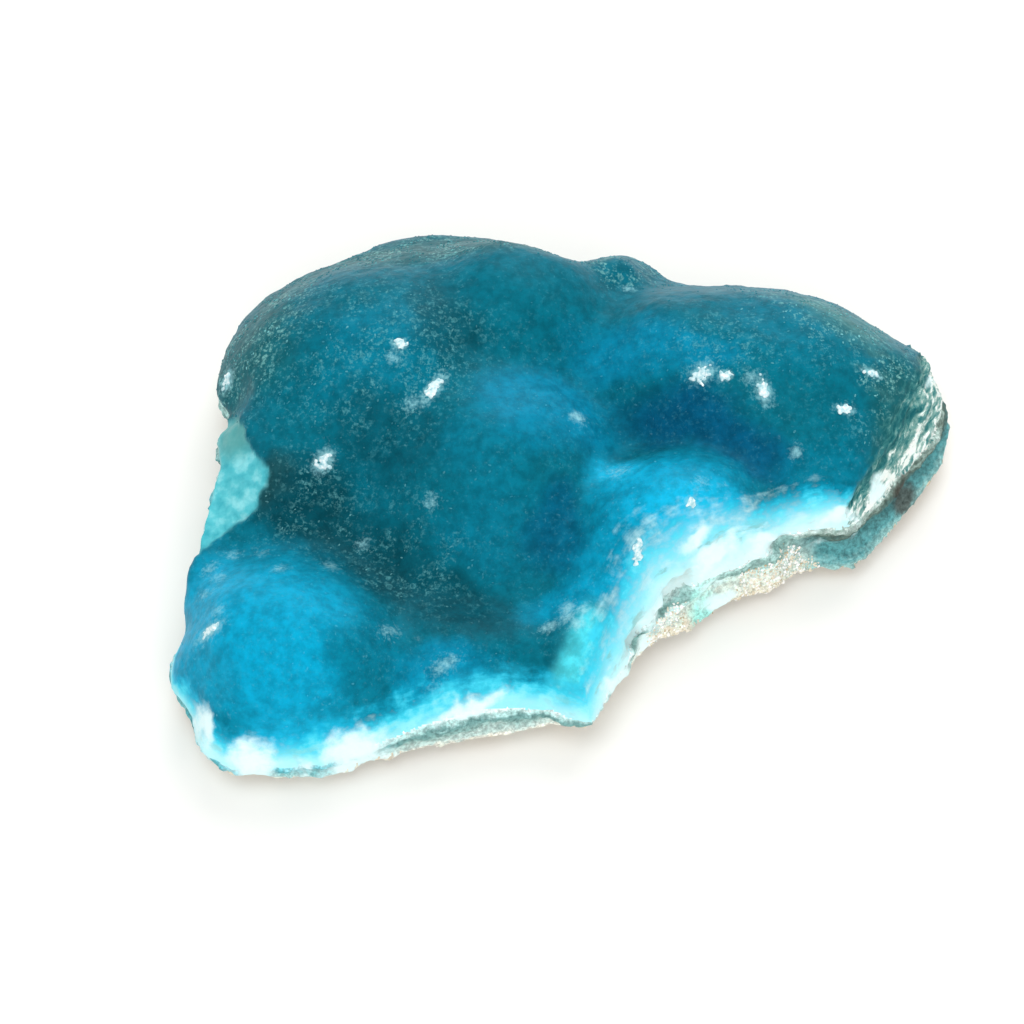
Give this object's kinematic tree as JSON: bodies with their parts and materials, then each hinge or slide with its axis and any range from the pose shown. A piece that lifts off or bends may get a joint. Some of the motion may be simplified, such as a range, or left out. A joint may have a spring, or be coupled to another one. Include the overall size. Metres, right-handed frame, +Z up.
{
  "type": "hemimorphite mineral specimen",
  "caption": "Loose chip of blue botryoidal hemimorphite: low rounded domes run together over a thin broken edge and a rough back that it rests on.",
  "frame": {"origin": "under the middle of the stone's box, on the surface that it lies on", "axes": "+Z up out of the domed crust, +X along the stone's longest side towards its broken right end, +Y towards its unbroken rounded side"},
  "size_m": [0.0598, 0.0476, 0.013],
  "materials": {
    "stone": "waxy, slightly translucent"
  },
  "bodies": {
    "root": {"hemimorphite": "stone"}
  },
  "joints": []
}
